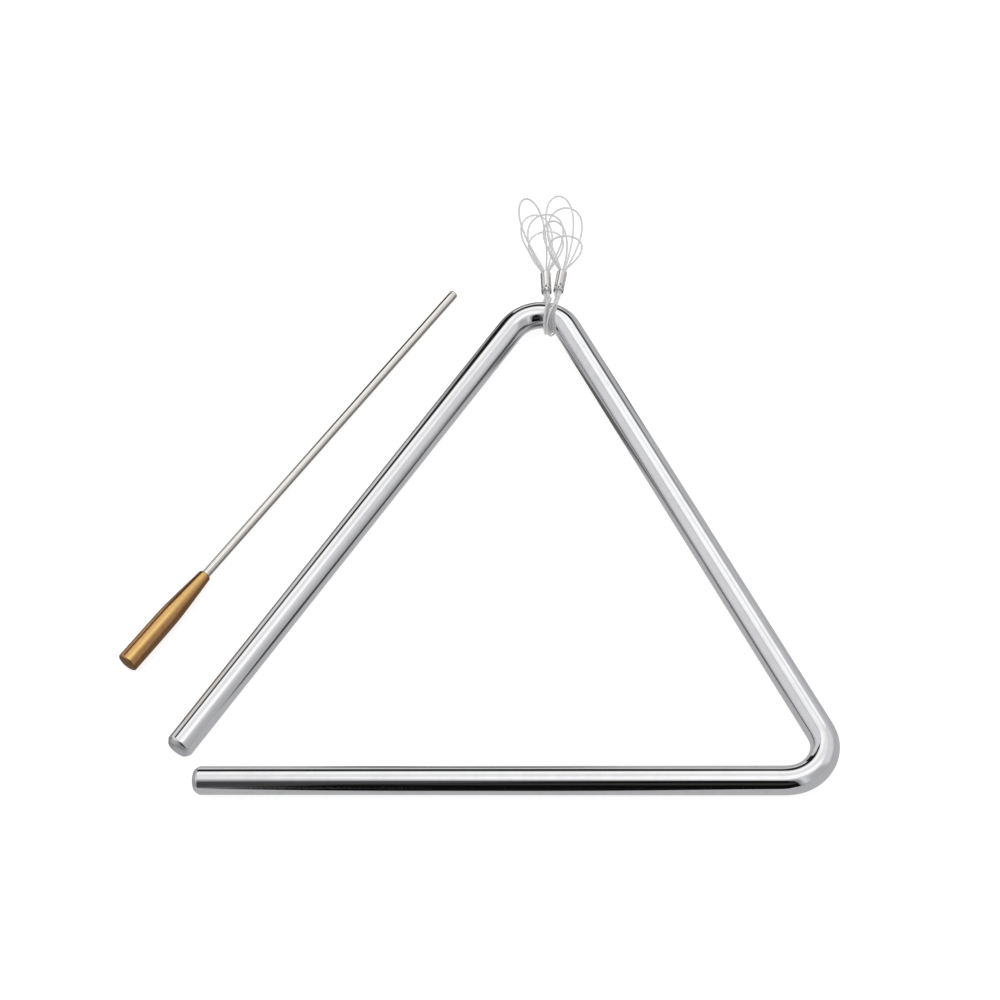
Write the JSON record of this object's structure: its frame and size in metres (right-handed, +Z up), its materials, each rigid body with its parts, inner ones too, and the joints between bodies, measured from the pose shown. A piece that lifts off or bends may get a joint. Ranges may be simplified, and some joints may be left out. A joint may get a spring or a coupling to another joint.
{
  "type": "triangle instrument",
  "caption": "Polished steel percussion triangle lying flat, open at a corner, hung by clear nylon hanks crimped in metal sleeves, with a straight steel beater that has a turned brass handle.",
  "frame": {"origin": "on the table, under the middle of the box that holds the bar and the beater", "axes": "+Z up from the table, +X along the base of the triangle towards its closed corner, +Y from the base towards the top bend"},
  "size_m": [0.2854, 0.2896, 0.017],
  "materials": {
    "polished_steel": "bright mirror polish with soft streaks along the bar",
    "clear_nylon": "clear, slightly milky, glossy",
    "sleeve_metal": "smooth, dulled by crimping",
    "beater_steel": "bright drawn bar with a warm nickel tone",
    "turned_brass": "satin, with fine turning marks"
  },
  "bodies": {
    "triangle": {"triangle_rod": "polished_steel"},
    "suspension": {"left_suspension_line": "clear_nylon", "right_suspension_line": "clear_nylon", "left_ferrule": "sleeve_metal", "right_ferrule": "sleeve_metal"},
    "beater": {"beater_rod": "beater_steel", "beater_handle": "turned_brass"}
  },
  "joints": [
    {"name": "suspension_swing", "type": "hinge", "parent": "triangle", "child": "suspension", "pos_m": [0.01771, 0.10223, 0.00683], "axis": [0.9496, -0.3134, -0.0019], "range_deg": [0, 100]},
    {"name": "beater_lift", "type": "slide", "parent": "triangle", "child": "beater", "axis": [0, 0, 1], "range_m": [0, 0.1]}
  ]
}
